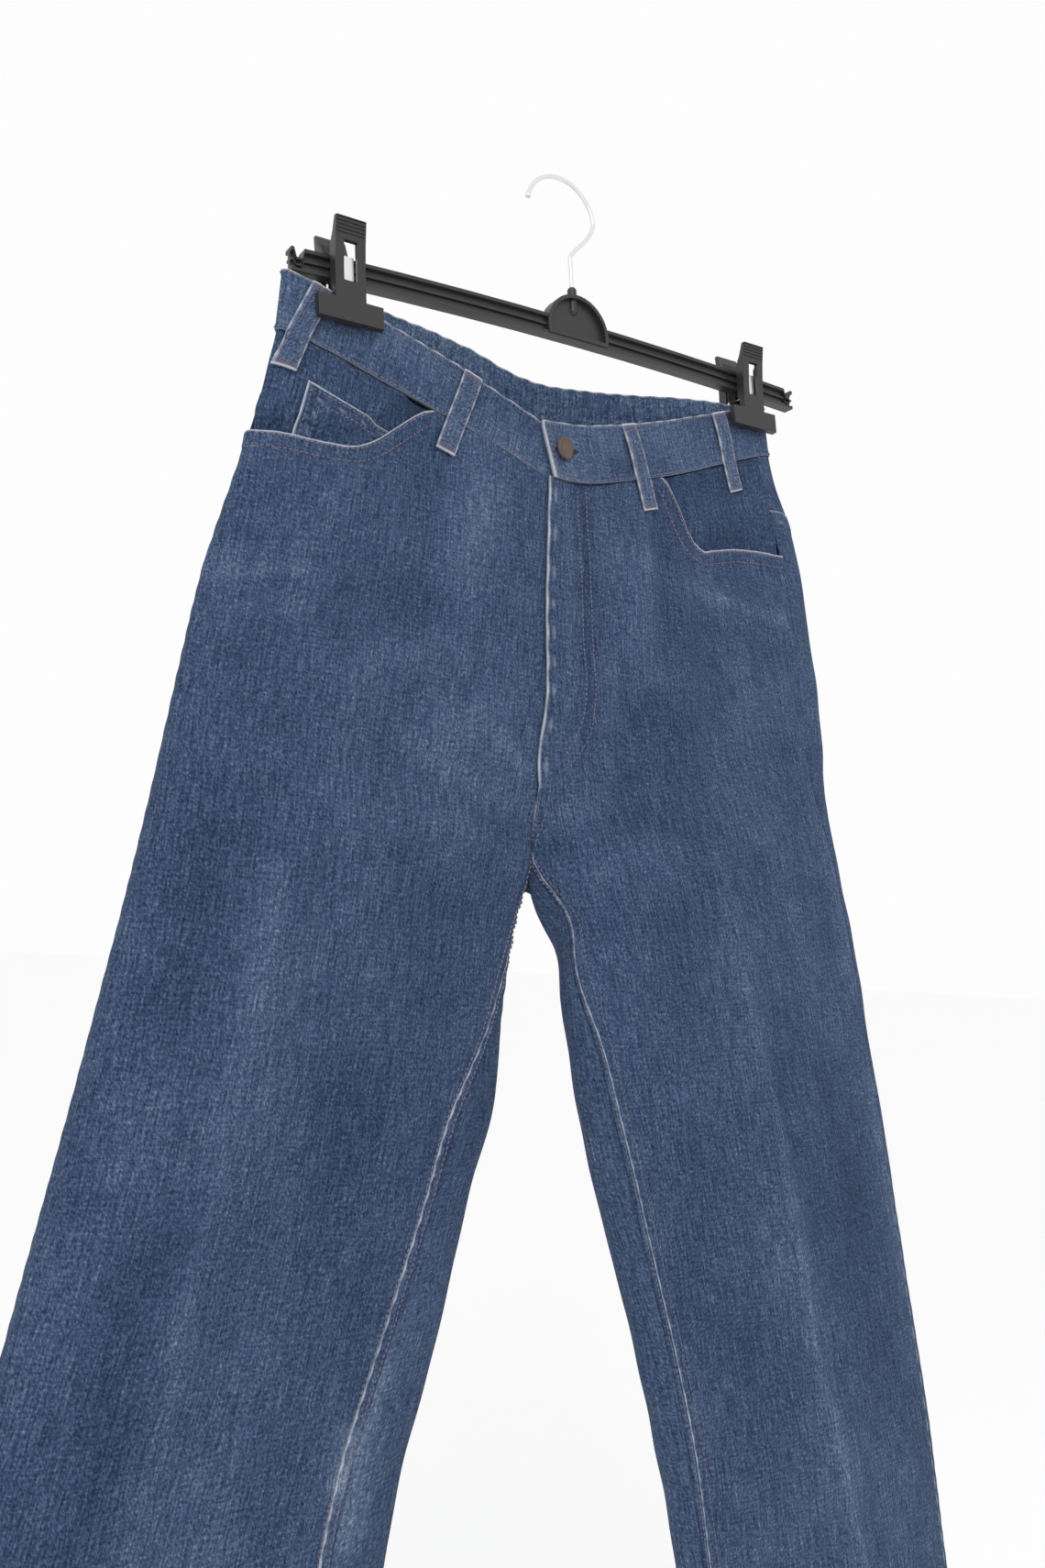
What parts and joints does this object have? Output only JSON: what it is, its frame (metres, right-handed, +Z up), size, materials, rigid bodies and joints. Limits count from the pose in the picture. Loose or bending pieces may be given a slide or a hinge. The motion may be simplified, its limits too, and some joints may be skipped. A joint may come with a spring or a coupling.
{
  "type": "jeans on a clip hanger",
  "caption": "Straight-leg faded denim jeans with front and back pockets, belt loops and a waist button, hanging upright from a clip trouser hanger.",
  "frame": {"origin": "inside top of the hanger's hook, where the hook rests on the rail that holds it", "axes": "+Z up, +X to the viewer's right (the wearer's left), +Y away from the viewer; the garment's front faces -Y"},
  "size_m": [0.6791, 0.1166, 1.243],
  "materials": {
    "denim": "faded indigo twill denim, worn white on edges and seams",
    "denim_shade": "less faded indigo twill denim, under the pocket mouths and the fly",
    "denim_band": "faded indigo twill denim, folded double, worn white on its edges",
    "black_plastic": "moulded, slightly glossy",
    "steel": "plain bright wire and spring strip",
    "antique_brass": "dulled brown"
  },
  "bodies": {
    "root": {"front_right": "denim", "front_left": "denim", "yoke_right": "denim", "yoke_left": "denim", "back_right": "denim", "back_left": "denim", "pocket_facing_right": "denim_shade", "pocket_facing_left": "denim_shade", "coin_pocket": "denim", "back_pocket_right": "denim", "back_pocket_left": "denim", "zip_tape": "denim_shade", "fly_shield": "denim_shade", "waistband": "denim_band", "belt_loop_1": "denim_band", "belt_loop_2": "denim_band", "belt_loop_3": "denim_band", "belt_loop_4": "denim_band", "belt_loop_5": "denim_band", "belt_loop_6": "denim_band", "belt_loop_7": "denim_band", "waist_button": "antique_brass", "hanger_bar": "black_plastic", "hanger_hook": "steel", "clip_right_front": "black_plastic", "clip_right_rear": "black_plastic", "clip_right_spring": "steel", "clip_left_front": "black_plastic", "clip_left_rear": "black_plastic", "clip_left_spring": "steel"}
  },
  "joints": []
}
